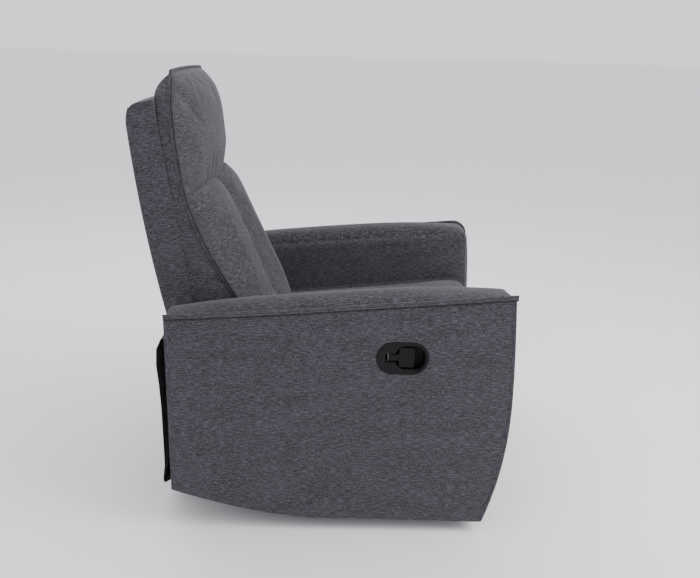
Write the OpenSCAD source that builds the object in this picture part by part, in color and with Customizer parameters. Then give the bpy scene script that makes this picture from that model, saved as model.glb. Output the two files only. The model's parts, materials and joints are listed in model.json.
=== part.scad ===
// Recliner armchair: upholstered arms and back, a steel reclining base and a fold-out footrest.
// +X is the chair's front, +Z is up and the sitter's right side is -Y. The origin is on the
// floor, under the middle of the whole chair. Sizes are in millimetres.

/* [Overall] */
// Width over both arms
body_w = 768; // [640:1:930]
// Depth from the back's rearmost point to the front of the arms
body_d = 870; // [720:1:1050]
// Slip fit between flat pieces that only lie beside each other
gap = 0.5; // [0.3:0.1:1]
// Radial clearance of a turning pin in its hole
pin_play = 0.05; // [0.02:0.01:0.1]

/* [Arms] */
// Thickness of an arm
arm_t = 100; // [80:1:130]
// Length of an arm
arm_len = 780; // [650:1:940]
// Height of the outer seam at the front corner
arm_front_h = 595; // [500:1:720]
// Rise of the arm towards the front, in degrees
arm_slope = 4.9; // [0:0.1:8]
// Rise of the crowned top above the outer seam
arm_crown = 24; // [10:1:30]
// Height of the arm's flat lower edge above the floor
arm_lift = 30; // [20:1:60]
// Angle at which the rear of the lower edge sweeps up
arm_sweep_a = 14.5; // [8:0.5:20]
// Rise of the swept part at the rear edge
arm_sweep_rise = 74; // [20:1:110]
// Thickness of the arm's padded cover
arm_wall = 12; // [8:1:18]
// Width of the timber in the arm frame
arm_timber = 44; // [30:1:60]

/* [Release handle] */
// Width of the oval cup
cup_w = 120; // [110:1:144]
// Height of the oval cup
cup_h = 79; // [72:1:90]
// Depth of the cup behind the arm's outer face
cup_depth = 34; // [30:1:40]
// Distance from the arm's front edge to the middle of the cup
cup_set = 250; // [180:1:300]
// Height of the middle of the cup
cup_z = 451; // [400:1:470]
// Width of the T-shaped paddle
paddle_w = 35; // [28:1:40]
// Height of the paddle
paddle_h = 47; // [36:1:50]

/* [Seat] */
// Tilt of the seat, front edge up, in degrees
seat_tilt = 5.7; // [0:0.1:9]
// Height of the seat frame's top at the front rail
seat_frame_z = 334; // [325:1:400]
// Distance from the arm's front edge back to the front rail's face
seat_set = 105; // [90:1:130]
// Length of the seat frame
seat_len = 523; // [430:1:630]
// Depth of the seat rails
seat_rail_h = 32; // [24:1:33]
// Thickness of the seat rails
seat_rail_t = 20; // [16:1:24]
// Thickness of the seat cushion at its edge
seat_pad_t = 93; // [75:1:115]
// How far the cushion's nose stands in front of the front rail
seat_nose = 100; // [80:1:103]
// Space between the cushion and each arm
seat_side_gap = 8; // [4:1:14]
// How far the seat slides forward while the back reclines
seat_travel = 50; // [0:1:60]

/* [Back] */
// Height of the casing's lower edge
back_foot_z = 450; // [420:1:500]
// Lean of the back at rest, in degrees
back_lean = 9; // [4:0.5:14]
// Length of the casing along the lean
back_len = 545; // [450:1:655]
// Depth of the casing
casing_t = 66; // [55:1:80]
// Thickness of the casing's wall
casing_wall = 10; // [6:1:12]
// Space between the back and each arm
back_side_gap = 16; // [8:1:24]
// Length of the head cushion along the lean
head_len = 260; // [210:1:315]
// How far the head cushion stands above the casing
head_rise = 49; // [30:1:60]
// Thickness of the head cushion
head_t = 90; // [70:1:108]
// Thickness of the lumbar cushion at its lower end
lumbar_t = 178; // [150:1:190]
// Height of the recline hinge
hinge_z = 300; // [292:1:310]

/* [Footrest] */
// Length of a footrest link between its pivots
link_len = 235; // [200:1:240]
// Width of a link
link_w = 20; // [16:1:21]
// Thickness of the steel links and plates
steel_t = 4; // [3:0.5:4.5]
// Radius of the link pivots
pivot_r = 4; // [3:0.5:5]
// Height of the drive tube's axis
drive_z = 270; // [262:1:272]
// Thickness of the footrest board
foot_board_t = 12; // [9:1:15]
// Thickness of the footrest pad
foot_pad_t = 50; // [40:1:60]
// Height of the footrest pad
foot_h = 233; // [190:1:236]
// Space between the footrest and each arm
foot_side_gap = 22; // [14:1:40]

/* [Base] */
// Height of the floor glides
glide_h = 20; // [12:1:24]
// Height of the base rails
base_h = 25; // [18:1:30]
// Radius of the base's cross tubes
tube_r = 10; // [8:1:12]
// Height of the slide rails' lower face
slide_z = 222; // [210:1:224]

/* [Hidden] */

$fn = 48;

// Main planes
half_w = body_w / 2;
front_x = body_d / 2;
back_x = -body_d / 2;
arm_in_y = half_w - arm_t;
arm_rear_x = front_x - arm_len;

// Layers of the steelwork on the +Y side, counted inwards from the arm's inner face
support_y = arm_in_y - 33;
slide_y = arm_in_y - 53;
bracket_y = arm_in_y - 52 - steel_t;
plate_y = bracket_y - 2 - steel_t;
link_gap = 2;
layer_1 = plate_y - link_gap - steel_t;
layer_2 = layer_1 - link_gap - steel_t;
layer_3 = layer_2 - link_gap - steel_t;

// Seat frame and recline hinge
seat_x = front_x - seat_set;
seat_rear_x = seat_x - seat_len * cos(seat_tilt);
hinge_x = seat_rear_x - 25;
hinge_r = 5;

// Back: rear lower corner of the casing, the posts inside it and the steel arms on the posts
back_foot_x = back_x + 4 + (back_len - 45) * sin(back_lean);
back_half = arm_in_y - back_side_gap;
post_out_y = back_half - casing_wall - gap;
post_in_y = bracket_y + steel_t;
bracket_w = 28;
bolt_vs = [30, 130];
bracket_top_v = bolt_vs[1] + 10;

// Footrest linkage: angles of the links to the axis that the chain of links opens along
chain_tilt = 8;
chain_shut = 84;
foot_front_x = front_x - 5;
foot_board_x = foot_front_x - foot_pad_t - foot_board_t;
drive_x = foot_board_x - 95;
foot_top_z = 278;

// Colours
fabric = [0.33, 0.33, 0.36];
timber = [0.72, 0.58, 0.40];
steel = [0.25, 0.25, 0.27];
zinc = [0.62, 0.63, 0.65];
foam = [0.86, 0.84, 0.76];
black = [0.06, 0.06, 0.06];

// ---------------------------------------------------------------- helpers

// Mirrors a piece drawn on the +Y side to the sitter's right side
module right_side() { mirror([0, 1, 0]) children(); }

// Draws a piece of the +Y side on both sides
module both_sides() {
    children();
    right_side() children();
}

// Extrudes an outline drawn in X and Z from y to y + t
module slab(y, t) {
    translate([0, y + t, 0]) rotate([90, 0, 0]) linear_extrude(t) children();
}

// A round bar along Y from y to y + t
module bar_y(x, z, y, t, r) {
    translate([x, y, z]) rotate([-90, 0, 0]) cylinder(h = t, r = r);
}

// A strip with round ends between two points; its sides lie a touch inside the ends' tangents
side_ease = 0.01;
module strip(p, q, w) {
    d = q - p;
    translate(p) circle(d = w);
    translate(q) circle(d = w);
    translate(p) rotate(atan2(d.y, d.x)) translate([0, side_ease - w / 2]) square([norm(d), w - 2 * side_ease]);
}

// A stadium of overall width w and height h
module stadium(w, h) {
    square([w - h, h], center = true);
    for (s = [-1, 1]) translate([s * (w - h) / 2, 0]) circle(d = h);
}

// A rectangle with round corners, centred
module round_rect(w, h, r) {
    square([w - 2 * r, h], center = true);
    square([w, h - 2 * r], center = true);
    for (s = [-1, 1], t = [-1, 1]) translate([s * (w / 2 - r), t * (h / 2 - r)]) circle(r = r);
}

// Points of an arc round c, from angle a to angle b
function arc(c, r, a, b, n = 8) = [for (i = [0 : n]) let (t = a + (b - a) * i / n) c + r * [cos(t), sin(t)]];

// ---------------------------------------------------------------- arms

// Height of the outer seam at x
function seam_z(x) = arm_front_h - (front_x - 5 - x) * tan(arm_slope);

// How far the crown's side view rises above the seam at x; it runs out at both ends
crown_front_run = 110;
crown_rear_run = 120;
crown_rear_h = arm_crown / 4;
crown_peak = arm_crown + 3;
function ease(t) = 1 - pow(1 - min(1, max(0, t)), 2);
function crown_rise(x) = min(crown_peak * ease((front_x - 5 - x) / crown_front_run),
    crown_rear_h + (crown_peak - crown_rear_h) * ease((x - arm_rear_x) / crown_rear_run));

// Lower front curve: the front edge draws in by arm_tuck over the lowest arm_tuck_h
arm_tuck = 36;
arm_tuck_h = 170;
arm_tuck_r = (pow(arm_tuck, 2) + pow(arm_tuck_h, 2)) / (2 * arm_tuck);
arm_tuck_a = asin(arm_tuck_h / arm_tuck_r);

// Rear of the lower edge: a straight rise that runs into the flat edge in an arc
arm_sweep_r = 350;
arm_sweep_len = (arm_sweep_rise - arm_sweep_r * (1 - cos(arm_sweep_a))) / tan(arm_sweep_a)
    + arm_sweep_r * sin(arm_sweep_a);

// Side outline of the arm, drawn e inside the real one
top_steps = 24;
function arm_top_x(i, e) = arm_rear_x + e + (arm_len - 2 * e) * i / top_steps;
function arm_top_line(e) = [for (i = [0 : top_steps]) let (x = arm_top_x(i, e)) [x, seam_z(x) + crown_rise(x) - e]];
function arm_outline(e) = concat(arm_top_line(e),
    arc([front_x - e - arm_tuck_r, arm_lift + arm_tuck_h], arm_tuck_r, 0, -arm_tuck_a, 6),
    arc([arm_rear_x + arm_sweep_len, arm_lift + e + arm_sweep_r], arm_sweep_r, -90, -90 - arm_sweep_a, 5),
    [[arm_rear_x + e, arm_lift + e + arm_sweep_rise]]);

// Upper end of the arm's section, Y across and Z up from the seam, drawn e inside the real one
crown_half = arm_t / 2 + 2;
crown_r = (pow(crown_half, 2) + pow(arm_crown, 2)) / (2 * arm_crown);
module arm_section(e) {
    translate([half_w - crown_half, arm_crown - crown_r]) circle(r = crown_r - e, $fn = 96);
    translate([arm_in_y - 1, -arm_front_h - 1]) square([arm_t + 2, arm_front_h + 1 - e]);
}

// Side outline of the hollow in the arm's cover, which is open underneath
function arm_hollow(e) = concat(arm_top_line(e),
    [[front_x - e, arm_lift + arm_tuck_h], [front_x - e - arm_tuck, arm_lift + e],
        [front_x - e - arm_tuck, 0], [arm_rear_x + e, 0]]);

// A form of the arm with the given side outline and the section e inside the real one
module arm_form(e, outline) {
    intersection() {
        slab(arm_in_y + e, arm_t - 2 * e) polygon(outline);
        translate([front_x - 5, 0, arm_front_h]) rotate([0, -arm_slope, 0])
            translate([-arm_len - 60, 0, 0]) rotate([90, 0, 90]) linear_extrude(arm_len + 120) arm_section(e);
    }
}

// Cable hole through the arm's inner wall
cable_x = 105;
cable_z = 146;
cable_r = 3.5;

module arm_cover() {
    color(fabric) difference() {
        arm_form(0, arm_outline(0));
        arm_form(arm_wall, arm_hollow(arm_wall));
        arm_bolt_places() bar_y(0, 0, arm_in_y - 1, arm_wall + 2, bolt_r + gap);
    }
}

module arm_cover_right() {
    difference() {
        right_side() arm_cover();
        translate([cup_x, -half_w - 1, cup_z]) rotate([-90, 0, 0]) linear_extrude(arm_wall + 2)
            stadium(boss_w + 2 * gap, boss_h + 2 * gap);
        translate([cup_x, -half_w - 1, cup_z]) rotate([-90, 0, 0]) linear_extrude(lip_t + 1 + gap)
            stadium(cup_w + 2 * gap, cup_h + 2 * gap);
        bar_y(cable_x, cable_z, -arm_in_y - arm_wall - 1, arm_wall + 2, cable_r + 1);
    }
}

// Foam crown that lies on the arm frame, under the cover
arm_pad_drop = 30;
module arm_top_pad() {
    color(foam) intersection() {
        arm_form(arm_wall + gap, arm_outline(arm_wall + gap));
        slab(arm_in_y, arm_t) polygon([
            [arm_rear_x, seam_z(arm_rear_x) - arm_pad_drop], [arm_rear_x, arm_front_h + 100],
            [front_x, arm_front_h + 100], [front_x, seam_z(front_x) - arm_pad_drop]]);
    }
}

// Timber frame: a ring inside the cover, with a post behind the middle
arm_post_x = arm_rear_x + arm_len * 0.38;
module arm_ring(e) {
    polygon([[arm_rear_x + e, seam_z(arm_rear_x + e) - arm_pad_drop - (e - arm_wall)],
        [front_x - e, seam_z(front_x - e) - arm_pad_drop - (e - arm_wall)],
        [front_x - e, arm_lift + arm_tuck_h],
        [front_x - e - arm_tuck, arm_lift + e],
        [arm_rear_x + arm_sweep_len, arm_lift + e],
        [arm_rear_x + e, arm_lift + e + arm_sweep_rise]]);
}
module arm_frame() {
    color(timber) difference() {
        slab(arm_in_y + arm_wall + gap, arm_t - 2 * arm_wall - 2 * gap) {
            difference() {
                arm_ring(arm_wall + gap);
                arm_ring(arm_wall + gap + arm_timber);
            }
            intersection() {
                arm_ring(arm_wall + gap + 1);
                translate([arm_post_x, 0]) square([arm_timber, arm_front_h]);
            }
        }
        arm_bolt_places() bar_y(0, 0, arm_in_y, bolt_in + 1, bolt_r + gap);
    }
}

// ---------------------------------------------------------------- release handle

cup_x = front_x - cup_set;
lip_t = 3;
boss_w = cup_w - 12;
boss_h = cup_h - 12;
recess_w = 65;
recess_h = paddle_h + 7;
recess_x = cup_x + 17.5;
recess_depth = cup_depth - 6;
slot_w = 34;
slot_h = 24;
slot_depth = 24;
lever_x = cup_x - 32;
lever_y = -half_w + 11;
lever_r = 5;
lever_pin_r = 1.5;
lever_t = 6;
paddle_sink = 3;
paddle_x = cup_x + 10.5;

// Faces the arm's outer side: an outline in X and Z, cut d deep from the panel's face
module cup_cut(x, z, d) { translate([x, -half_w, z]) rotate([-90, 0, 0]) linear_extrude(d) children(); }

module handle_cup() {
    color(black) difference() {
        union() {
            cup_cut(cup_x, cup_z, lip_t) stadium(cup_w, cup_h);
            cup_cut(cup_x, cup_z, cup_depth) stadium(boss_w, boss_h);
        }
        translate([0, -1, 0]) cup_cut(recess_x, cup_z, recess_depth + 1) round_rect(recess_w, recess_h, 18);
        translate([0, -1, 0]) cup_cut(lever_x + slot_w / 2 - 9, cup_z, slot_depth + 1) square([slot_w, slot_h], center = true);
        translate([lever_x, lever_y, cup_z - slot_h / 2 - 5]) cylinder(h = slot_h + 10, r = lever_pin_r);
        translate([lever_x, -half_w + slot_depth - 1, cup_z]) rotate([-90, 0, 0]) cylinder(h = cup_depth, r = cable_r - 1);
    }
}

module handle_pin() {
    color(zinc) translate([lever_x, lever_y, cup_z - slot_h / 2 - 5 + 0.1]) cylinder(h = slot_h + 9.8, r = lever_pin_r - 0.01);
}

// Torsion spring: a close coil round the pin, with a leg against the slot's floor
spring_wire = 1.4;
module handle_spring() {
    color(zinc) translate([lever_x, lever_y, cup_z - slot_h / 2 + gap]) {
        difference() {
            cylinder(h = 3, r = lever_pin_r + 0.4 + spring_wire);
            translate([0, 0, -1]) cylinder(h = 5, r = lever_pin_r + 0.4);
        }
        translate([lever_pin_r + 0.5, 0, 0]) cube([spring_wire, slot_depth - 11 - 0.2, spring_wire]);
    }
}

module release_handle() {
    color(black) difference() {
        union() {
            translate([lever_x, lever_y, cup_z - slot_h / 2 + 4]) cylinder(h = slot_h - 4.5, r = lever_r);
            translate([lever_x, -half_w + paddle_sink, cup_z - 8]) cube([paddle_x - lever_x, lever_t, 16]);
            cup_cut(paddle_x, cup_z, paddle_sink + lever_t) round_rect(paddle_w, paddle_h, 5);
        }
        translate([0, -1, 0]) cup_cut(paddle_x, cup_z, paddle_sink + 1) square(2 * paddle_h, center = true);
        translate([lever_x, lever_y, cup_z - slot_h]) cylinder(h = 2 * slot_h, r = lever_pin_r + pin_play);
    }
}

// Cable from the lever, down inside the arm, to the latch on the side support
latch_t = 8;
cable_route = [[lever_x, -half_w + cup_depth + 0.2, cup_z], [lever_x, -half_w + 42, cup_z],
    [lever_x - 3, -half_w + 50, cup_z - 11], [lever_x - 8, -half_w + 53, cup_z - 50],
    [130, -half_w + 54, 330], [118, -half_w + 54, 220], [109, -arm_in_y - arm_wall - 30, 172],
    [cable_x, -arm_in_y - arm_wall - 18, 152], [cable_x, -arm_in_y - arm_wall, cable_z], [cable_x, -arm_in_y, cable_z],
    [cable_x, -support_y - steel_t - latch_t - 0.2, cable_z]];
function unit(v) = v / norm(v);
function tangent(p, i) = unit(p[min(i + 1, len(p) - 1)] - p[max(i - 1, 0)]);
module tube(p, r, sides) {
    rings = [for (i = [0 : len(p) - 1]) let (t = tangent(p, i), u = unit(cross(t, [1, 0, 0])), v = cross(t, u))
        for (k = [0 : sides - 1]) p[i] + r * (cos(360 * k / sides) * u + sin(360 * k / sides) * v)];
    walls = [for (i = [0 : len(p) - 2], k = [0 : sides - 1])
        [i * sides + k, i * sides + (k + 1) % sides, (i + 1) * sides + (k + 1) % sides, (i + 1) * sides + k]];
    ends = [[for (k = [0 : sides - 1]) sides - 1 - k], [for (k = [0 : sides - 1]) (len(p) - 1) * sides + k]];
    polyhedron(rings, concat(walls, ends));
}
module release_cable() { color(black) tube(cable_route, cable_r, 8); }

module release_latch() {
    color(zinc) right_side() translate([cable_x - 20, support_y + steel_t, cable_z - 15]) cube([40, latch_t, 30]);
}

// ---------------------------------------------------------------- base

base_x0 = arm_rear_x + 95;
base_x1 = drive_x - 25;
base_z1 = glide_h + base_h;
base_in_y = arm_in_y - 43;
base_w = 30;
slide_h = 24;
slide_w = support_y - slide_y;
slide_wall = 2;
slide_x0 = base_x0 + 50;
slide_x1 = base_x1 - 48;

module base_rail() {
    color(steel) difference() {
        translate([base_x0, base_in_y, glide_h]) cube([base_x1 - base_x0, base_w, base_h]);
        translate([base_x0 - 1, base_in_y + 2, glide_h + 2]) cube([base_x1 - base_x0 + 2, base_w - 4, base_h - 4]);
    }
}

tube_inset = 25;
module base_cross_tube(x) {
    color(steel) difference() {
        bar_y(x, glide_h + base_h / 2, -base_in_y, 2 * base_in_y, tube_r);
        bar_y(x, glide_h + base_h / 2, -base_in_y - 1, 2 * base_in_y + 2, tube_r - 2);
    }
}

glide_r = 17;
glide_inset = 30;
module floor_glides() {
    color(black) both_sides() for (x = [base_x0 + glide_inset, base_x1 - glide_inset])
        translate([x, base_in_y + base_w / 2, 0]) {
            cylinder(h = glide_h / 2, r1 = glide_r - 2, r2 = glide_r);
            translate([0, 0, glide_h / 2]) cylinder(h = glide_h / 2, r = glide_r);
        }
}

// Pressed plate that stands on a base rail and carries the slide rail
support_windows = 3;
window_w = 70;
module side_support() {
    color(steel) slab(support_y, steel_t) difference() {
        translate([slide_x0 - 10, base_z1]) square([slide_x1 - slide_x0 + 20, slide_z + slide_h - base_z1]);
        for (i = [0 : support_windows - 1])
            translate([slide_x0 + (slide_x1 - slide_x0) * (i + 0.5) / support_windows, slide_z - 40])
                round_rect(window_w, 40, 8);
    }
}

module slide_rail() {
    color(zinc) difference() {
        translate([slide_x0, slide_y, slide_z]) cube([slide_x1 - slide_x0, slide_w, slide_h]);
        translate([slide_x0 - 1, slide_y - 1, slide_z + slide_wall])
            cube([slide_x1 - slide_x0 + 2, slide_w - slide_wall + 1, slide_h - 2 * slide_wall]);
    }
}

// Brackets between the side supports and the arms, and their bolts
bracket_len = 50;
bracket_h = 50;
bracket_z = 56;
bracket_xs = [slide_x0 + 45, slide_x1 - 45];
bolt_r = 4;
bolt_head_r = 7;
bolt_head_t = 5;
bolt_z = bracket_z + 24;
bolt_in = 45;
module arm_bolt_places() { for (x = bracket_xs) translate([x, 0, bolt_z]) children(); }
module arm_brackets() {
    color(steel) both_sides() for (x = bracket_xs) difference() {
        translate([x - bracket_len / 2, support_y + steel_t, bracket_z])
            cube([bracket_len, arm_in_y - support_y - steel_t, bracket_h]);
        translate([x - bracket_len / 2 - 1, support_y + 2 * steel_t, bracket_z + steel_t])
            cube([bracket_len + 2, arm_in_y - support_y - 3 * steel_t, bracket_h]);
        bar_y(x, bolt_z, arm_in_y - steel_t - 1, steel_t + 2, bolt_r + gap);
    }
}
module arm_bolts() {
    color(zinc) both_sides() arm_bolt_places() {
        bar_y(0, 0, arm_in_y - steel_t - bolt_head_t, bolt_head_t, bolt_head_r);
        bar_y(0, 0, arm_in_y - steel_t - 1, bolt_in - 5, bolt_r);
    }
}

// Rear rail between the arms, and the loose cloth that closes the back of the chair
rear_rail_t = 18;
rear_rail_z = arm_lift + arm_sweep_rise - 4;
rear_rail_h = 50;
module rear_rail() {
    color(timber) translate([arm_rear_x + 2, -arm_in_y, rear_rail_z]) cube([rear_rail_t, 2 * arm_in_y, rear_rail_h]);
}

cloth_t = 2;
cloth_x = min(arm_rear_x, back_foot_x + 8);
cloth_path = [[back_foot_x, back_foot_z - 0.3], [cloth_x - 30, back_foot_z - 20],
    [cloth_x - 43, back_foot_z - 46], [cloth_x - 42, 330], [cloth_x - 38, 250],
    [cloth_x - 35, 170], [cloth_x - 35, 108], [arm_rear_x - 24, rear_rail_z - 12],
    [arm_rear_x, rear_rail_z - cloth_t - 0.3], [arm_rear_x + 18, rear_rail_z - cloth_t - 0.3]];
function inner_side(p, i) = let (t = tangent(p, i)) p[i] + cloth_t * [-t.y, t.x];
module rear_dust_cloth() {
    color(black) slab(-arm_in_y + 4, 2 * arm_in_y - 8)
        polygon(concat(cloth_path, [for (i = [len(cloth_path) - 1 : -1 : 0]) inner_side(cloth_path, i)]));
}

// ---------------------------------------------------------------- seat

// Draws in the seat frame's own tilted plane: X from the front rail's face, Z from the rails' top
module in_seat() { translate([seat_x, 0, seat_frame_z]) rotate([0, -seat_tilt, 0]) children(); }

// Steel plate that joins the slide, the recline hinge and the footrest's drive tube
module seat_side_plate() {
    color(steel) difference() {
        slab(plate_y, steel_t) difference() {
            union() {
                polygon([[hinge_x, slide_z], [drive_x, slide_z + 6], [drive_x, drive_z + 18],
                    [drive_x - 60, drive_z + 18], [hinge_x + 30, hinge_z - 24], [hinge_x, hinge_z]]);
                translate([hinge_x, hinge_z]) circle(r = 15);
                translate([drive_x, drive_z]) circle(r = 18);
                translate([hinge_x - 15, slide_z]) square([30, hinge_z - slide_z]);
            }
        }
        bar_y(drive_x, drive_z, plate_y - 1, steel_t + 2, journal_r + pin_play);
        bar_y(hinge_x, hinge_z, plate_y - 1, steel_t + 2, hinge_r);
    }
}

// Bar that runs in the slide rail, with the web that joins it to the side plate
runner_gap = 0.5;
runner_x0 = slide_x0 + 20;
runner_x1 = slide_x1 - seat_travel - 30;
module seat_runner() {
    color(zinc) {
        translate([runner_x0, slide_y + 1, slide_z + slide_wall + runner_gap])
            cube([runner_x1 - runner_x0, slide_w - slide_wall - 1 - runner_gap, slide_h - 2 * slide_wall - 2 * runner_gap]);
        translate([runner_x0, plate_y + steel_t, slide_z + 7])
            cube([runner_x1 - runner_x0, slide_y + 2 - plate_y - steel_t, slide_h - 14]);
    }
}

seat_side_w = 24;
module seat_side_rail() {
    color(timber) in_seat() translate([-seat_len, plate_y + steel_t, -seat_rail_h])
        cube([seat_len - seat_rail_t, seat_side_w, seat_rail_h]);
}
module seat_front_rail() {
    color(timber) in_seat() translate([-seat_rail_t, -plate_y - steel_t - seat_side_w, -seat_rail_h])
        cube([seat_rail_t, 2 * (plate_y + steel_t + seat_side_w), seat_rail_h]);
}
module seat_rear_rail() {
    color(timber) in_seat() translate([-seat_len, -plate_y, -seat_rail_h])
        cube([seat_rail_t, 2 * plate_y, seat_rail_h]);
}

// Zigzag springs from the rear rail to the front rail
spring_count = 5;
spring_t = 4;
spring_bends = 26;
spring_sway = 22;
spring_w = 8;
function zigzag(i) = [-seat_len + 6 + (seat_len - 12) * i / spring_bends, (i % 2 == 0 ? 1 : -1) * spring_sway];
module seat_springs() {
    color(zinc) in_seat() for (k = [0 : spring_count - 1])
        translate([0, (k + 0.5) * 2 * plate_y / spring_count - plate_y, 0]) linear_extrude(spring_t)
            polygon(concat([for (i = [0 : spring_bends]) zigzag(i) + [0, spring_w / 2]],
                [for (i = [spring_bends : -1 : 0]) zigzag(i) - [0, spring_w / 2]]));
}

// Cushion: its nose drops in front of the front rail
nose_drop = 27;
nose_r = 45;
module seat_cushion() {
    base = spring_t + gap;
    top = base + seat_pad_t;
    color(fabric) in_seat() slab(-arm_in_y + seat_side_gap, 2 * (arm_in_y - seat_side_gap))
        polygon(concat([[3, base], [-seat_len, base], [-seat_len, top - 8]],
            arc([seat_nose - nose_r, top - nose_r], nose_r, 90, 0, 8),
            arc([seat_nose - 20, 20 - nose_drop], 20, 0, -90, 4), [[3, -nose_drop]]));
}

module back_hinge_pins() {
    color(zinc) both_sides() {
        bar_y(hinge_x, hinge_z, plate_y - 2, bracket_y + steel_t + 1 - plate_y + 2, hinge_r);
        bar_y(hinge_x, hinge_z, plate_y - 3, 3, hinge_r + 4);
        bar_y(hinge_x, hinge_z, bracket_y + steel_t + 0.5, 3, hinge_r + 4);
    }
}

// ---------------------------------------------------------------- back

// Draws in the back's own leaning plane: X forward from the casing's rear, Z up along the lean
module in_back() { translate([back_foot_x, 0, back_foot_z]) rotate([0, -back_lean, 0]) children(); }

// The same plane for an outline in X and Z
module in_back_plane() { translate([back_foot_x, back_foot_z]) rotate(back_lean) children(); }

// Rear of the casing: straight, with a slight swell, and a round shoulder
casing_swell = 9;
swell_steps = 10;
shoulder_r = 22;
function casing_rear(i, e) = let (v = (back_len - shoulder_r) * i / swell_steps)
    [e - casing_swell * sin(180 * i / swell_steps), v];
function casing_outline(e) = concat([for (i = [0 : swell_steps]) casing_rear(i, e)],
    arc([shoulder_r + e, back_len - shoulder_r - e], shoulder_r, 180, 90, 6));
module back_casing() {
    color(fabric) in_back() difference() {
        slab(-back_half, 2 * back_half) polygon(concat(casing_outline(0), [[casing_t, back_len], [casing_t, 0]]));
        slab(-back_half + casing_wall, 2 * (back_half - casing_wall)) polygon(concat([[casing_wall, -1]],
            casing_outline(casing_wall), [[casing_t + 1, back_len - casing_wall], [casing_t + 1, -1]]));
    }
}

// Timber frame inside the casing
post_u = casing_wall + 4;
post_d = casing_t - casing_wall - 8;
post_top = back_len - 50;
rail_d = 22;
back_rails = [bracket_top_v + bracket_w / 2 + 10, back_len * 0.56, post_top - 45];
module back_frame() {
    color(timber) difference() {
        in_back() {
            both_sides() translate([post_u, post_in_y, 10]) cube([post_d, post_out_y - post_in_y, post_top - 10]);
            for (v = back_rails) translate([post_u + 12, -post_in_y - 1, v]) cube([rail_d, 2 * post_in_y + 2, 45]);
        }
        back_bolt_places() bar_y(0, 0, post_in_y - 1, 20, bolt_r + gap);
    }
}

// Elastic straps across the frame's front
strap_count = 5;
strap_w = 50;
module back_webbing() {
    color(black) in_back() for (i = [0 : strap_count - 1])
        translate([post_u + post_d, -post_out_y, 45 + (post_top - 130) * i / (strap_count - 1)])
            cube([2, 2 * post_out_y, strap_w]);
}

// Steel arm from the hinge to the back frame
function back_point(u, v) = [back_foot_x + u * cos(back_lean) - v * sin(back_lean),
    back_foot_z + u * sin(back_lean) + v * cos(back_lean)];
module back_bolt_places() {
    both_sides() for (v = bolt_vs) let (p = back_point(casing_t / 2 + 2, v)) translate([p.x, 0, p.y]) children();
}
module back_bracket() {
    color(steel) difference() {
        slab(bracket_y, steel_t) {
            strip([hinge_x, hinge_z], back_point(casing_t / 2, bolt_vs[0]), bracket_w);
            in_back_plane() translate([casing_t / 2 - bracket_w / 2, bolt_vs[0]])
                square([bracket_w, bracket_top_v - bolt_vs[0]]);
            translate(back_point(casing_t / 2, bracket_top_v)) circle(d = bracket_w);
        }
        bar_y(hinge_x, hinge_z, bracket_y - 1, steel_t + 2, hinge_r + pin_play);
        back_bolt_places() bar_y(0, 0, bracket_y - 1, steel_t + 2, bolt_r + gap);
    }
}
module back_bolts() {
    color(zinc) back_bolt_places() {
        bar_y(0, 0, bracket_y - bolt_head_t, bolt_head_t, bolt_head_r);
        bar_y(0, 0, bracket_y - 1, 18, bolt_r);
    }
}

// Cushions on the casing's front: the head section and the two channels of the lumbar section
head_foot = back_len + head_rise - head_len;
cushion_rear = casing_t + 0.3;
module head_cushion() {
    front = cushion_rear + head_t;
    top = back_len + head_rise;
    color(fabric) in_back() intersection() {
        slab(-back_half, 2 * back_half) polygon([[cushion_rear, head_foot + 2], [cushion_rear, top - 50],
            [cushion_rear + 10, top - 6], [cushion_rear + 45, top], [front - 22, top - 10], [front - 4, top - 40],
            [front, top - 90], [front - 4, head_foot + 30], [front - 30, head_foot + 2]]);
        translate([0, 0, head_foot]) rotate([90, 0, 90]) linear_extrude(2 * front) polygon([
            [-back_half + 8, 0], [back_half - 8, 0], [back_half - 6, head_len * 0.45],
            [back_half - 50, head_len], [-back_half + 50, head_len], [-back_half + 6, head_len * 0.45]]);
    }
}
lumbar_drop = 86;
channel_gap = 1;
module lumbar_cushion() {
    front = cushion_rear + lumbar_t;
    color(fabric) in_back() slab(channel_gap, back_half - 2 - channel_gap) polygon([
        [cushion_rear, 12], [cushion_rear + 33, -50], [front - 4, -lumbar_drop], [front, -lumbar_drop + 30],
        [front - 30, head_foot * 0.39], [front - 82, head_foot * 0.84], [front - 112, head_foot - 2],
        [cushion_rear, head_foot - 2]]);
}

// ---------------------------------------------------------------- footrest

// Pivots of the closed linkage, in X and Z
function polar(r, a) = r * [cos(a), sin(a)];
down = chain_tilt - chain_shut;
up = chain_tilt + chain_shut;
p_drive = [drive_x, drive_z];
p_mid = p_drive + polar(link_len / 2, down);
p_knee = p_drive + polar(link_len, down);
p_cross_low = p_mid - polar(link_len / 2, up);
p_cross_top = p_mid + polar(link_len / 2, up);
p_foot = p_knee + polar(link_len, up);
p_steady_low = p_cross_top + polar(link_len, down);

// One link of the +Y side, with its holes
module link(y, p, q, holes) {
    color(steel) difference() {
        slab(y, steel_t) strip(p, q, link_w);
        for (h = holes) bar_y(h[0].x, h[0].y, y - 1, steel_t + 2, h[1]);
    }
}
// One headed rivet of the +Y side, through two layers
rivet_head_t = 1;
module rivet(p, y0, y1) {
    head_gap = (link_gap - rivet_head_t) / 2;
    color(zinc) {
        bar_y(p.x, p.y, y0 - head_gap - rivet_head_t, y1 - y0 + 2 * (head_gap + rivet_head_t), pivot_r);
        bar_y(p.x, p.y, y0 - head_gap - rivet_head_t, rivet_head_t, pivot_r + 3);
        bar_y(p.x, p.y, y1 + head_gap, rivet_head_t, pivot_r + 3);
    }
}
tight = pivot_r + 0.01;
loose = pivot_r + pin_play;
journal_r = 6;
drive_r = 10;

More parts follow.
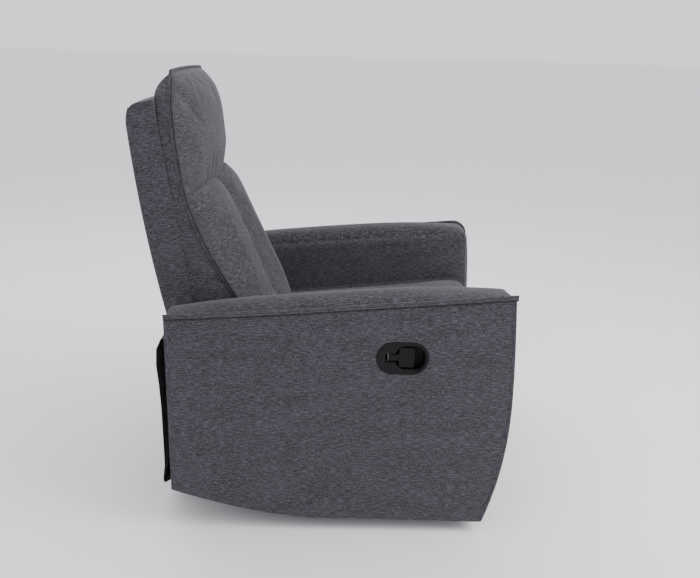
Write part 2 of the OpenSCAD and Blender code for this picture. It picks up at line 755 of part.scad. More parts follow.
module drive_tube() {
    color(steel) {
        bar_y(drive_x, drive_z, -layer_1, 2 * layer_1, drive_r);
        bar_y(drive_x, drive_z, -plate_y - steel_t - 2, 2 * (plate_y + steel_t + 2), journal_r);
    }
}
module lower_link() { link(layer_1, p_drive, p_knee, [[p_drive, journal_r + 0.01], [p_mid, tight], [p_knee, tight]]); }
module cross_link() { link(layer_2, p_cross_low, p_cross_top, [[p_mid, loose], [p_cross_top, tight]]); }
module lift_link() { link(layer_2, p_knee, p_foot, [[p_knee, loose], [p_foot, tight]]); }
module steady_link() { link(layer_1, p_cross_top, p_steady_low, [[p_cross_top, loose]]); }
module lower_link_rivets() {
    both_sides() for (p = [p_mid, p_knee]) rivet(p, layer_2, layer_1 + steel_t);
}
module cross_link_rivets() { both_sides() rivet(p_cross_top, layer_2, layer_1 + steel_t); }
module lift_link_rivets() { both_sides() rivet(p_foot, layer_3, layer_2 + steel_t); }

foot_bottom_z = foot_top_z - foot_h;
module footrest_brackets() {
    color(steel) both_sides() difference() {
        union() {
            slab(layer_3, steel_t) {
                translate(p_foot) circle(r = link_w / 2);
                polygon([p_foot + [0, -10], [foot_board_x, p_foot.y - 60], [foot_board_x, p_foot.y], p_foot + [0, 6]]);
            }
            translate([foot_board_x - 3, layer_3 - 12, foot_top_z - 150]) cube([3, 12 + steel_t, 140]);
        }
        bar_y(p_foot.x, p_foot.y, layer_3 - 1, steel_t + 2, loose);
    }
}
module footrest_board() {
    y = arm_in_y - foot_side_gap - 6;
    color(timber) translate([foot_board_x, -y, foot_bottom_z + 4]) cube([foot_board_t, 2 * y, foot_h - 8]);
}
module footrest_pad() {
    y = arm_in_y - foot_side_gap;
    r = 16;
    color(fabric) slab(-y, 2 * y) translate([foot_front_x, 0]) polygon(concat(
        [[-foot_pad_t, foot_bottom_z], [-foot_pad_t, foot_top_z]],
        arc([-r, foot_top_z - r], r, 90, 0, 4), arc([-r, foot_bottom_z + r], r, 0, -90, 4)));
}

// ---------------------------------------------------------------- nodes

right_side() arm_frame();  // arm_frame_right
arm_frame();  // arm_frame_left
arm_cover_right();
arm_cover();  // arm_cover_left
right_side() arm_top_pad();  // arm_top_pad_right
arm_top_pad();  // arm_top_pad_left
handle_cup();
handle_pin();
handle_spring();
release_handle();
release_cable();
release_latch();
right_side() base_rail();  // base_rail_right
base_rail();  // base_rail_left
base_cross_tube(base_x1 - tube_inset);  // base_cross_tube_front
base_cross_tube(base_x0 + tube_inset);  // base_cross_tube_rear
floor_glides();
right_side() side_support();  // side_support_right
side_support();  // side_support_left
right_side() slide_rail();  // slide_rail_right
slide_rail();  // slide_rail_left
arm_brackets();
arm_bolts();
rear_rail();
rear_dust_cloth();
right_side() seat_side_plate();  // seat_side_plate_right
seat_side_plate();  // seat_side_plate_left
right_side() seat_runner();  // seat_runner_right
seat_runner();  // seat_runner_left
right_side() seat_side_rail();  // seat_side_rail_right
seat_side_rail();  // seat_side_rail_left
seat_front_rail();
seat_rear_rail();
seat_springs();
seat_cushion();
back_hinge_pins();
right_side() back_bracket();  // back_bracket_right
back_bracket();  // back_bracket_left
back_frame();
back_webbing();
back_casing();
back_bolts();
head_cushion();
right_side() lumbar_cushion();  // lumbar_cushion_right
lumbar_cushion();  // lumbar_cushion_left
drive_tube();
right_side() lower_link();  // lower_link_right
lower_link();  // lower_link_left
lower_link_rivets();
right_side() cross_link();  // cross_link_right
cross_link();  // cross_link_left
cross_link_rivets();
right_side() lift_link();  // lift_link_right
lift_link();  // lift_link_left
lift_link_rivets();
right_side() steady_link();  // steady_link_right
steady_link();  // steady_link_left
footrest_brackets();
footrest_board();
footrest_pad();
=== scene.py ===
import json
import math

import bpy
import numpy as np
from mathutils import Matrix, Vector


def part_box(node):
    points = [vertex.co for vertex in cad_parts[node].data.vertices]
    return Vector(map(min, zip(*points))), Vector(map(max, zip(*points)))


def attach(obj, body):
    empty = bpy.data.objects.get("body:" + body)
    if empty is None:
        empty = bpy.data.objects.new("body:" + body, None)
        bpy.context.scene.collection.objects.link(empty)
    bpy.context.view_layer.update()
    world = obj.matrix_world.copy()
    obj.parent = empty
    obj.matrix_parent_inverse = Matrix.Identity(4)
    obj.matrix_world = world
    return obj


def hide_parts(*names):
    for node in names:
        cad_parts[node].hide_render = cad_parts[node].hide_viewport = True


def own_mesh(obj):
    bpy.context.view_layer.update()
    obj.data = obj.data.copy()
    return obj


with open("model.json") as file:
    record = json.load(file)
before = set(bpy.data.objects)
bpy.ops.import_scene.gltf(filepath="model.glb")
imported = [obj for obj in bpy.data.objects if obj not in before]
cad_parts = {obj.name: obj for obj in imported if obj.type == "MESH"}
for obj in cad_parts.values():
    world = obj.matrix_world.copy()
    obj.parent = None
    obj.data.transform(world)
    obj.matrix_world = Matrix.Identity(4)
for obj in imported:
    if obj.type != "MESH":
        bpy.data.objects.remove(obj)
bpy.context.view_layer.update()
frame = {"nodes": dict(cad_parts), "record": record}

# A manual recliner armchair. Metres; +X is the way it faces, -Y the sitter's right, +Z up.

# ---------------------------------------------------------------- camera and room

CAMERA_PLACE = Vector((0.032, -1.977, 1.114))
CAMERA_YAW = 0.0195
CAMERA_PITCH = 0.3059
CAMERA_ROLL = 0.0267
CAMERA_LENS = 39.6


def set_camera():
    """A level view of the chair's right side, turned, tipped and rolled a little."""
    forward = Vector((math.sin(CAMERA_YAW) * math.cos(CAMERA_PITCH),
                      math.cos(CAMERA_YAW) * math.cos(CAMERA_PITCH), -math.sin(CAMERA_PITCH)))
    level = Vector((math.cos(CAMERA_YAW), -math.sin(CAMERA_YAW), 0))
    down = forward.cross(level)
    across = level * math.cos(CAMERA_ROLL) - down * math.sin(CAMERA_ROLL)
    up = -(level * math.sin(CAMERA_ROLL) + down * math.cos(CAMERA_ROLL))
    bpy.ops.object.camera_add()
    camera = bpy.context.object
    turn = Matrix((across, up, -forward)).transposed().to_4x4()
    camera.matrix_world = Matrix.Translation(CAMERA_PLACE) @ turn
    camera.data.lens = CAMERA_LENS
    bpy.context.scene.camera = camera


set_camera()


LIGHT_AIM = Vector((0, 0, 0.6))


def add_light(place, size, watts, tint):
    """A soft square light that shines at the chair's middle."""
    bpy.ops.object.light_add(type="AREA", location=place)
    light = bpy.context.object
    light.rotation_euler = (LIGHT_AIM - Vector(place)).to_track_quat("-Z", "Y").to_euler()
    light.data.size = size
    light.data.energy = watts
    light.data.color = tint


# ---------------------------------------------------------------- shader maths

STITCH_PITCH = 0.0045
STITCH_THREAD = 0.0005


class Value:
    """A shader socket that can be used in sums."""

    def __init__(self, finish, socket):
        self.finish = finish
        self.socket = socket

    def join(self, operation, *others):
        return self.finish.node("ShaderNodeMath", {"operation": operation}, dict(enumerate(others)))

    def __add__(self, other):
        return self.join("ADD", self, other)

    def __sub__(self, other):
        return self.join("SUBTRACT", self, other)

    def __mul__(self, other):
        return self.join("MULTIPLY", self, other)

    def __rsub__(self, other):
        return self.join("SUBTRACT", other, self)

    __radd__ = __add__
    __rmul__ = __mul__

    def above(self, edge, softness):
        """0 below edge, 1 above it, with a soft step between."""
        limits = {"Value": self, "From Min": edge - softness, "From Max": edge + softness}
        return self.finish.node("ShaderNodeMapRange", {"interpolation_type": "SMOOTHSTEP"}, limits)


class Finish:
    """One material, built up node by node."""

    def __init__(self, name, **shader):
        self.material = bpy.data.materials.new(name)
        self.material.use_nodes = True
        self.tree = self.material.node_tree
        self.shader = self.tree.nodes["Principled BSDF"]
        for socket, value in shader.items():
            self.shader.inputs[socket.replace("_", " ")].default_value = value

    def node(self, kind, settings=None, values=None, out=0):
        made = self.tree.nodes.new(kind)
        for setting, value in (settings or {}).items():
            setattr(made, setting, value)
        for socket, value in (values or {}).items():
            self.feed(made.inputs[socket], value)
        return Value(self, made.outputs[out])

    def feed(self, socket, value):
        if isinstance(value, Value):
            self.tree.links.new(value.socket, socket)
        else:
            socket.default_value = value

    def mix(self, share, first, second):
        """From the first colour to the second by share."""
        first, second = [c if isinstance(c, Value) else (*c, 1) for c in (first, second)]
        return self.node("ShaderNodeMix", {"data_type": "RGBA"}, {0: share, 6: first, 7: second}, 2)

    def noise(self, vector, stretch, detail=2.0):
        """Noise whose spots are 1 / stretch long along each axis."""
        moved = self.node("ShaderNodeMapping", None, {"Vector": vector, "Scale": stretch})
        return self.node("ShaderNodeTexNoise", None, {"Vector": moved, "Scale": 1.0, "Detail": detail})

    def wave(self, vector, direction, period):
        """Even ridges across one axis, period apart."""
        settings = {"wave_type": "BANDS", "bands_direction": direction, "wave_profile": "SIN"}
        return self.node("ShaderNodeTexWave", settings, {"Vector": vector, "Scale": math.pi / 10 / period})

    def finish(self, colour, roughness, height=None, depth=0.0005, strength=0.6):
        """Feeds the shader: height is worked out as bumps of that depth and strength."""
        self.feed(self.shader.inputs["Base Color"], colour)
        self.feed(self.shader.inputs["Roughness"], roughness)
        if height is not None:
            bumps = {"Strength": strength, "Distance": depth, "Height": height}
            self.feed(self.shader.inputs["Normal"], self.node("ShaderNodeBump", None, bumps))
        return self.material

    def place(self):
        """Where a point lies on the finished piece."""
        return self.node("ShaderNodeTexCoord", out="Object")

    def cloth(self):
        """Where a point lies on the flat cloth, in metres."""
        return self.node("ShaderNodeUVMap", {"uv_map": "cloth"})


def melange(name, dark, mid, light, seam_width=0.0, both=0.0):
    """Woven fabric in three greys: short thick threads across, thinner ones down.
    On a lip, seam_width tall, its foot is painted in shade, and its other edge is too by a share of both,
    and a row of stitches runs along each side of its middle."""
    f = Finish(name, Roughness=0.92, Sheen_Weight=0.10, Sheen_Roughness=0.5, Specular_IOR_Level=0.25)
    cloth = f.cloth()
    slubs = f.noise(cloth, (58, 430, 1), 2.5)
    threads = f.noise(cloth, (150, 950, 1), 2.0)
    warp = f.noise(cloth, (800, 120, 1), 1.5)
    patches = f.noise(cloth, (9, 30, 1), 3.0)
    tone = slubs * 0.46 + threads * 0.26 + warp * 0.16 + patches * 0.14
    shade = f.mix(tone.above(0.51, 0.13), dark, mid)
    shade = f.mix(threads.above(0.60, 0.08) * 0.26, shade, light)
    shade = f.mix(slubs.above(0.62, 0.06) * 0.22, shade, light)
    shade = f.mix(warp.above(0.60, 0.07) * 0.22, shade, light)
    weave = f.wave(cloth, "X", 0.0016) * 0.35 + f.wave(cloth, "Y", 0.0013) * 0.65
    height = weave + slubs * 1.2 + warp * 0.5
    if seam_width:
        along = f.node("ShaderNodeSeparateXYZ", None, {"Vector": cloth}, "X")
        across = f.node("ShaderNodeSeparateXYZ", None, {"Vector": cloth}, "Y")
        middle = across.join("ABSOLUTE", across - seam_width / 2)
        # Painted shade: the lip's foot is darkened towards 0.35 of the dark grey, and its far edge too by
        # a share of both.
        foot = 1 - across.above(seam_width * 0.10, seam_width * 0.09)
        far = across.above(seam_width * 0.86, seam_width * 0.09) * both
        shade = f.mix(foot * 0.8 + far, shade, tuple(0.35 * c for c in dark))
        row = middle.join("COMPARE", middle, seam_width * 0.24, STITCH_THREAD)
        dash = along.join("FRACT", along * (1 / STITCH_PITCH))
        stitch = row * (1 - dash.above(0.80, 0.04)) * dash.above(0.08, 0.04)
        shade = f.mix(stitch * 0.40, shade, light)
        height = height + stitch * 1.5
    return f.finish(shade, 0.86 + threads * 0.12, height, 0.0005, 0.40)


def plain_cloth():
    """Thin black woven lining."""
    f = Finish("black_lining", Roughness=0.9, Sheen_Weight=0.08, Specular_IOR_Level=0.2)
    cloth = f.cloth()
    threads = f.wave(cloth, "X", 0.0012) + f.wave(cloth, "Y", 0.0012)
    folds = f.noise(cloth, (6, 3, 1), 3.0)
    # Painted shade and light: the lining's colour follows the broad fold noise, darker over some folds and
    # lighter over others.
    shade = f.mix(folds, (0.008, 0.008, 0.009), (0.022, 0.021, 0.023))
    return f.finish(shade, 0.82 + folds * 0.15, threads + folds * 0.5, 0.0004, 0.4)


def moulded_plastic(name, dark, light, grain=900):
    """Matt moulded plastic with a fine grain and worn high spots."""
    f = Finish(name, Specular_IOR_Level=0.16)
    fine = f.noise(f.place(), (grain, grain, grain), 2.0)
    broad = f.noise(f.place(), (40, 40, 40), 3.0)
    shade = f.mix(broad, dark, light)
    return f.finish(shade, 0.46 + broad * 0.16, fine, 0.0002, 0.35)


def coated_steel():
    """Black powder coat with orange peel and rubbed patches."""
    f = Finish("powder_coated_steel", Specular_IOR_Level=0.5)
    peel = f.noise(f.place(), (420, 420, 420), 2.0)
    rubbed = f.noise(f.place(), (30, 30, 30), 4.0)
    bare = rubbed.above(0.66, 0.03) * 0.5
    f.feed(f.shader.inputs["Metallic"], bare)
    shade = f.mix(bare, (0.016, 0.016, 0.017), (0.21, 0.20, 0.19))
    return f.finish(shade, 0.36 + rubbed * 0.2, peel, 0.0003, 0.3)


def zinc_plate():
    """Bright zinc-plated steel, streaked and a little dull."""
    f = Finish("zinc_plated_steel", Metallic=1.0)
    streaks = f.noise(f.place(), (25, 200, 200), 3.0)
    spangle = f.noise(f.place(), (140, 140, 140), 2.0)
    shade = f.mix(streaks, (0.40, 0.41, 0.42), (0.62, 0.63, 0.64))
    return f.finish(shade, 0.26 + spangle * 0.25, streaks, 0.0001, 0.25)


def frame_timber():
    """Plywood and pine frame parts: long grain with darker pores."""
    f = Finish("frame_timber", Specular_IOR_Level=0.3)
    grain = f.noise(f.place(), (9, 150, 60), 5.0)
    pores = f.noise(f.place(), (70, 900, 500), 2.0)
    shade = f.mix(grain.above(0.5, 0.16), (0.50, 0.34, 0.19), (0.70, 0.53, 0.33))
    shade = f.mix(pores.above(0.62, 0.05) * 0.5, shade, (0.27, 0.17, 0.09))
    return f.finish(shade, 0.62 + grain * 0.2, grain + pores, 0.0004, 0.4)


def foam_wadding():
    """Cream foam with open cells."""
    f = Finish("foam_wadding", Roughness=0.95)
    cells = f.noise(f.place(), (520, 520, 520), 3.0)
    broad = f.noise(f.place(), (18, 18, 18), 3.0)
    shade = f.mix(broad * 0.6 + cells * 0.4, (0.62, 0.56, 0.42), (0.82, 0.78, 0.66))
    return f.finish(shade, 0.9 + cells * 0.08, cells, 0.0008, 0.6)


def elastic_web():
    """Ribbed elastic webbing with mottled threads."""
    f = Finish("elastic_webbing", Roughness=0.85)
    ribs = f.wave(f.place(), "Y", 0.003)
    threads = f.noise(f.place(), (300, 90, 700), 2.0)
    shade = f.mix(threads, (0.05, 0.05, 0.055), (0.13, 0.12, 0.12))
    return f.finish(shade, 0.8 + threads * 0.15, ribs + threads, 0.0004, 0.5)


LIP_TALL = 0.011
LIP_THICK = 0.0065
LIP_SUNK = 0.002
MELANGE = ((0.0170, 0.0150, 0.0188), (0.0590, 0.0525, 0.0645), (0.150, 0.136, 0.160))
upholstery = melange("charcoal_melange", *MELANGE)
# Lip cloth: the first has painted shade along each lip's foot, the second also has painted shade along
# each lip's far edge.
lip_cloth_painted_foot_shade = melange("charcoal_melange_lip_painted_foot_shade", *MELANGE, seam_width=LIP_TALL)
seam_cloth_painted_edge_shade = melange("charcoal_melange_seam_painted_edge_shade", *MELANGE, seam_width=LIP_TALL, both=0.6)
lining = plain_cloth()
cup_plastic = moulded_plastic("black_moulded_plastic", (0.0036, 0.0032, 0.0038),
                              (0.0062, 0.0056, 0.0064))
lever_plastic = moulded_plastic("black_satin_plastic", (0.0030, 0.0031, 0.0033),
                                (0.0050, 0.0052, 0.0054), 1200)
NODE_FINISHES = {
    "black_steel": coated_steel(), "zinc_steel": zinc_plate(), "timber": frame_timber(),
    "wadding": foam_wadding(), "webbing": elastic_web(), "black_plastic": cup_plastic,
    "cable_sheath": moulded_plastic("cable_sheath", (0.010, 0.010, 0.011), (0.022, 0.022, 0.023), 600),
    "glide_plastic": moulded_plastic("glide_plastic", (0.012, 0.012, 0.012), (0.03, 0.03, 0.03), 700),
    "upholstery": upholstery, "dust_cloth": lining,
}


def finish_nodes():
    """Gives every node of the frame the finish of its slot."""
    for row in frame["record"]["subparts"]:
        node = frame["nodes"][row["node"]]
        node.data.materials.clear()
        node.data.materials.append(NODE_FINISHES[row["material_slot"]])


# ---------------------------------------------------------------- modelling tools


def deselect():
    bpy.ops.object.select_all(action="DESELECT")


def pick(piece):
    """Selects that piece alone."""
    deselect()
    piece.select_set(True)
    bpy.context.view_layer.objects.active = piece


def coords(piece):
    flat = np.empty(len(piece.data.vertices) * 3)
    piece.data.vertices.foreach_get("co", flat)
    return flat.reshape(-1, 3)


def set_coords(piece, points):
    piece.data.vertices.foreach_set("co", np.asarray(points, float).ravel())
    piece.data.update()


def block(name, cuts):
    """A block from -1 to 1 with that many even steps along each axis, on its faces only."""
    deselect()
    bpy.ops.mesh.primitive_cube_add(size=2)
    piece = bpy.context.object
    piece.name = name
    bpy.ops.object.mode_set(mode="EDIT")
    for axis, steps in enumerate(cuts):
        bpy.ops.mesh.select_all(action="DESELECT")
        bpy.ops.object.mode_set(mode="OBJECT")
        points = coords(piece)
        for edge in piece.data.edges:
            run = np.abs(points[edge.vertices[0]] - points[edge.vertices[1]])
            edge.select = bool(run[axis] > 1.9)
        bpy.ops.object.mode_set(mode="EDIT")
        bpy.ops.mesh.select_mode(type="EDGE")
        bpy.ops.mesh.subdivide(number_cuts=steps - 1)
    bpy.ops.object.mode_set(mode="OBJECT")
    return piece


def turn_outward(piece):
    """Turns every face of the piece outwards."""
    pick(piece)
    bpy.ops.object.mode_set(mode="EDIT")
    bpy.ops.mesh.select_all(action="SELECT")
    bpy.ops.mesh.normals_make_consistent(inside=False)
    bpy.ops.object.mode_set(mode="OBJECT")


def smooth(piece, angle):
    """Smooths the shading across edges that turn by less than angle degrees."""
    pick(piece)
    bpy.ops.object.shade_smooth_by_angle(angle=math.radians(angle))


def lay_cloth(piece, sheets):
    """Lays the weave on the piece: sheets gives each face corner its place on flat cloth."""
    layer = piece.data.uv_layers.get("cloth") or piece.data.uv_layers.new(name="cloth")
    layer.data.foreach_set("uv", np.asarray(sheets, float).ravel())
    for other in [u.name for u in piece.data.uv_layers if u.name != "cloth"]:
        piece.data.uv_layers.remove(piece.data.uv_layers[other])


def face_corners(piece):
    """The vertex at each face corner."""
    corners = np.empty(len(piece.data.loops), int)
    piece.data.loops.foreach_get("vertex_index", corners)
    return corners


def block_sides(piece, unit):
    """The axis that each face corner's face looks along, on the unit block."""
    axes = np.empty(len(piece.data.loops), int)
    for face in piece.data.polygons:
        span = np.ptp(unit[list(face.vertices)], axis=0)
        axes[face.loop_start:face.loop_start + face.loop_total] = int(np.argmin(span))
    return axes


CUT_APART = 0.37


def cloth_by_side(piece, unit, flats):
    """Each side of the block is cut from its own stretch of cloth. flats holds the place of every
    vertex on the cloth, once for each axis that a side can look along."""
    corners = face_corners(piece)
    axes = block_sides(piece, unit)
    sheets = np.zeros((len(corners), 2))
    for axis, flat in enumerate(flats):
        chosen = axes == axis
        sheets[chosen] = flat[corners[chosen]] + axis * CUT_APART
    lay_cloth(piece, sheets)


def ease(t):
    """A smooth step from 0 to 1."""
    t = np.clip(t, 0, 1)
    return t * t * (3 - 2 * t)


def dress(piece, body, material, replaced=(), smooth_angle=40):
    """Finishes a piece: its material, smooth faces, and the body that it rides on."""
    piece.data.materials.clear()
    piece.data.materials.append(material)
    smooth(piece, smooth_angle)
    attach(piece, body)
    if replaced:
        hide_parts(*replaced)
    return piece


def tube(name, sides, steps):
    """A closed cylinder of radius 1 from -1 to 1 in Z, with that many rings of points."""
    deselect()
    bpy.ops.mesh.primitive_cylinder_add(vertices=sides, radius=1, depth=2, end_fill_type="NGON")
    piece = bpy.context.object
    piece.name = name
    if steps == 2:
        return piece
    points = coords(piece)
    bpy.ops.object.mode_set(mode="EDIT")
    bpy.ops.mesh.select_all(action="DESELECT")
    bpy.ops.object.mode_set(mode="OBJECT")
    for edge in piece.data.edges:
        ends = points[list(edge.vertices)]
        edge.select = bool(abs(ends[0][2] - ends[1][2]) > 1)
    bpy.ops.object.mode_set(mode="EDIT")
    bpy.ops.mesh.select_mode(type="EDGE")
    bpy.ops.mesh.subdivide(number_cuts=steps - 2)
    bpy.ops.object.mode_set(mode="OBJECT")
    return piece


def rings_of(points, steps):
    """Which of the tube's rings each point is on, from its foot."""
    level = np.round((points[:, 2] + 1) / 2 * (steps - 1)).astype(int)
    return np.clip(level, 0, steps - 1)


def share_round(points, first, second, count):
    """Which of count even places round the tube each point is at, by its first and second axis."""
    turn = np.arctan2(points[:, first], points[:, second]) % (2 * math.pi)
    return np.round(turn / (2 * math.pi) * count).astype(int) % count


def sew(lip, body, material):
    """Finishes a lip of the covering."""
    return dress(lip, body, material, (), 50)


def welt(name, path, out, side, tall, thick, waist=0.62, rise=(0, 0)):
    """A sewn lip: a double fold of cloth that stands tall along out from its seam, and is thick
    along side. It grows to its full height over rise metres at its two ends."""
    path, out, side = (np.asarray(v, float) for v in (path, out, side))
    half = thick / 2
    section = [(-LIP_SUNK, -half * 0.7), (tall * 0.25, -half), (tall * 0.48, -half * waist),
               (tall * 0.72, -half), (tall * 0.93, -half * 0.7), (tall, 0), (tall * 0.93, half * 0.7),
               (tall * 0.72, half), (tall * 0.48, half * waist), (tall * 0.25, half),
               (-LIP_SUNK, half * 0.7)]
    steps, sides = len(path), len(section)
    piece = tube(name, sides, steps)
    points = coords(piece)
    ring = share_round(points, 0, 1, sides)
    station = rings_of(points, steps)
    run = np.concatenate([[0], np.cumsum(np.linalg.norm(np.diff(path, axis=0), axis=1))])
    grown = np.ones(steps)
    if rise[0]:
        grown *= 0.05 + 0.95 * ease(run / rise[0])
    if rise[1]:
        grown *= 0.05 + 0.95 * ease((run[-1] - run) / rise[1])
    shape = np.array(section)[ring]
    stand = shape[:, :1] * grown[station][:, None]
    set_coords(piece, path[station] + out[station] * stand + side[station] * shape[:, 1:])
    turn_outward(piece)
    flat = np.stack([run[station], shape[:, 0]], axis=1)
    lay_cloth(piece, flat[face_corners(piece)])
    return piece


CLOTH_SLACK = 0.012
PUFF_STEPS = 18


def puff(piece, unit, held, pressure, cap):
    """Blows the cover up a little between its seams and takes the result as the piece's shape.
    The block's edges and the held points stay put, and no point moves further than cap."""
    before = coords(piece)
    group = piece.vertex_groups.new(name="seams")
    edge = (np.abs(unit) > 0.999).sum(axis=1) >= 2
    for index in np.nonzero(edge | held)[0]:
        group.add([int(index)], 1.0, "REPLACE")
    cloth = piece.modifiers.new("cloth", "CLOTH")
    wear = cloth.settings
    wear.quality = 5
    wear.mass = 0.4
    wear.tension_stiffness = 18
    wear.compression_stiffness = 12
    wear.shear_stiffness = 6
    wear.bending_stiffness = 0.6
    wear.shrink_min = -CLOTH_SLACK
    wear.use_pressure = True
    wear.uniform_pressure_force = pressure
    wear.vertex_group_mass = group.name
    wear.pin_stiffness = 1
    wear.effector_weights.gravity = 0
    scene = bpy.context.scene
    for step in range(1, PUFF_STEPS + 1):
        scene.frame_set(step)
    shown = piece.evaluated_get(bpy.context.evaluated_depsgraph_get())
    after = coords(shown)
    piece.modifiers.remove(cloth)
    piece.vertex_groups.remove(group)
    scene.frame_set(1)
    moved = after - before
    length = np.linalg.norm(moved, axis=1, keepdims=True)
    set_coords(piece, before + moved * np.minimum(1, cap / np.maximum(length, 1e-9)))


# ---------------------------------------------------------------- arms

arm_low, arm_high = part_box("arm_cover_left")
ARM_IN = arm_low.y
ARM_OUT = arm_high.y
ARM_REAR = arm_low.x
ARM_FRONT = arm_high.x - 0.006
ARM_BOTTOM = arm_low.z
SEAM_FRONT = 0.593
SEAM_SLOPE = math.tan(math.radians(4.9))
CROWN = 0.029
SWEEP_RISE = 0.070
TUCK = 0.037
EDGE = 0.003
SQUARE = 0.006
LEFT_CORNER = 0.032
INNER_ROUND = 0.026


def seam_height(x):
    """Height of the seam between the outer panel and the crown."""
    return SEAM_FRONT - (ARM_FRONT - x) * SEAM_SLOPE + 0.005 * np.clip((-0.10 - x) / 0.245, 0, 1)


def crown_height(x):
    """Height of the crown's crest above the seam; it runs out towards both ends."""
    return CROWN * np.clip(1 - np.abs((x - 0.03) / 0.410) ** 2.8, 0.10, 1)


def lower_height(x):
    """Height of the panel's lower edge, which sweeps up towards the rear."""
    level = ARM_BOTTOM + 0.004 * np.clip((0.39 - x) / 0.20, 0, 1)
    return level + SWEEP_RISE * np.clip((0.03 - x) / 0.375, 0, 1) ** 1.7


def front_reach(z):
    """How far forward the panel's front edge stands; it bows out and draws in towards the floor."""
    bow = 0.012 * np.sin(math.pi * np.clip((z - ARM_BOTTOM) / (SEAM_FRONT - ARM_BOTTOM), 0, 1))
    return ARM_FRONT + bow - TUCK * (1 - np.clip((z - ARM_BOTTOM) / 0.34, 0, 1)) ** 2.5


def arm_shape(unit, outer_round):
    """Unit block to the left arm: a runs to the front, b outwards, c up.
    outer_round is the radius of the outer panel's top front corner."""
    a, b, c = unit.T
    rough = ARM_REAR + (a + 1) / 2 * (ARM_FRONT - ARM_REAR)
    low = lower_height(rough)
    z = low + (c + 1) / 2 * (seam_height(rough) - low)
    x = ARM_REAR + EDGE + (a + 1) / 2 * (front_reach(z) - ARM_REAR - 2 * EDGE)
    middle = (ARM_IN + ARM_OUT) / 2
    half = (ARM_OUT - ARM_IN) / 2 - 0.001
    y = middle + b * half
    z_seam = seam_height(x)
    # crown over the top, and the covering that wraps round the front and the rear
    across = np.clip(1 - b * b, 0, 1)
    on_top = c > 0.999
    z = np.where(on_top, z_seam + crown_height(x) * across ** 0.8, z)
    front_swell = 0.005 * ease((z_seam - z) / 0.10)
    x = np.where(a > 0.999, x + front_swell * across, x)
    x = np.where(a < -0.999, x - 0.005 * across * ease((z_seam - z) / 0.06), x)
    # inner top edge is round
    depth_in = (b + 1) * half
    below = np.maximum(z_seam - z, 0)
    turn_top = np.where(on_top, np.clip(1 - depth_in / INNER_ROUND, 0, 1), 0) * math.pi / 4
    z = np.where(on_top, z - INNER_ROUND * (1 - np.cos(turn_top)), z)
    shift = INNER_ROUND * (1 - np.sin(turn_top)) - depth_in
    y = np.where(on_top & (depth_in < INNER_ROUND), y + shift, y)
    on_side = (b < -0.999) & ~on_top
    turn_side = np.where(on_side, np.clip(1 - below / INNER_ROUND, 0, 1), 0) * math.pi / 4
    y = np.where(on_side, y + INNER_ROUND * (1 - np.cos(turn_side)), y)
    dropped = z_seam - INNER_ROUND * (1 - np.sin(turn_side))
    z = np.where(on_side & (below < INNER_ROUND), dropped, z)
    # inner front edge is round, and so is the top front corner, more so on the inner side
    inner = ease((0.75 - b) / 1.2)
    back_off = np.maximum(front_reach(z) - EDGE - x, 0)
    y = np.where(b < -0.999, y + 0.008 * np.clip(1 - back_off / 0.018, 0, 1) ** 2, y)
    x = np.where(a > 0.999, x - 0.010 * inner * np.clip(1 - depth_in / 0.02, 0, 1) ** 2, x)
    radius = outer_round + (max(outer_round, 0.018) - outer_round) * inner
    crest = z_seam + crown_height(x) * across ** 0.8
    from_front = np.maximum(front_reach(z) - EDGE - x, 0)
    in_x = np.clip(radius - from_front, 0, None)
    in_z = np.clip(radius - np.maximum(crest - z, 0), 0, None)
    shrink = np.maximum(in_x, in_z) / np.maximum(np.hypot(in_x, in_z), 1e-9)
    corner = (in_x > 0) & (in_z > 0)
    x = np.where(corner, x - in_x * (1 - shrink), x)
    z = np.where(corner, z - in_z * (1 - shrink), z)
    # slack of the cloth over the panels
    swell = 0.0035 * (1 - a ** 4) * (1 - c ** 4)
    y = np.where(b > 0.999, y + swell, y)
    y = np.where(b < -0.999, y - swell, y)
    return np.stack([x, y, z], axis=1)


def arm_edge(corner):
    """Points along the foot of the outer panel's lip: up the rear, along the seam and down the
    front. corner is the radius of its top front corner."""
    rear_z = np.linspace(lower_height(ARM_REAR) + 0.002, seam_height(ARM_REAR) - 0.006, 46)
    rear = np.stack([np.full(46, ARM_REAR + 0.008), rear_z], axis=1)
    end_x = ARM_FRONT - 0.002 - corner
    top_x = np.linspace(ARM_REAR + 0.014, end_x, 92)
    top = np.stack([top_x, seam_height(top_x)], axis=1)
    turn = np.linspace(0.06, math.pi / 2, 14)
    low = seam_height(end_x) - corner
    bend = np.stack([end_x + corner * np.sin(turn), low + corner * np.cos(turn)], axis=1)
    front_z = np.linspace(low - 0.006, ARM_BOTTOM + 0.003, 64)
    front = np.stack([front_reach(front_z) - 0.002, front_z], axis=1)
    return np.concatenate([rear, top, bend, front])


def outward(line):
    """Unit vectors square to a line in X and Z, on its left as it runs."""
    ahead = np.gradient(line, axis=0)
    ahead /= np.linalg.norm(ahead, axis=1, keepdims=True)
    return np.stack([-ahead[:, 1], ahead[:, 0]], axis=1)


def lip_along(name, line, side, material, tall=LIP_TALL, lean=0.12, waist=0.62, proud=0.0025):
    """A lip of an arm's cover along a line in X and Z, proud of the outer panel and leaning out."""
    out = outward(line)
    y = side * (ARM_OUT - LIP_THICK / 2 + proud)
    path = np.stack([line[:, 0], np.full(len(line), y), line[:, 1]], axis=1)
    stand = np.stack([out[:, 0], np.full(len(line), lean * side), out[:, 1]], axis=1)
    stand /= np.linalg.norm(stand, axis=1, keepdims=True)
    across = np.zeros_like(path)
    across[:, 1] = side
    sew(welt(name, path, stand, across, tall, LIP_THICK, waist), "root", material)


def flush_lip(name, line, side):
    """A flat lip that lies in the panel's own face."""
    lip_along(name, line, side, upholstery, 0.007, 0.0, 0.98, 0.0005)


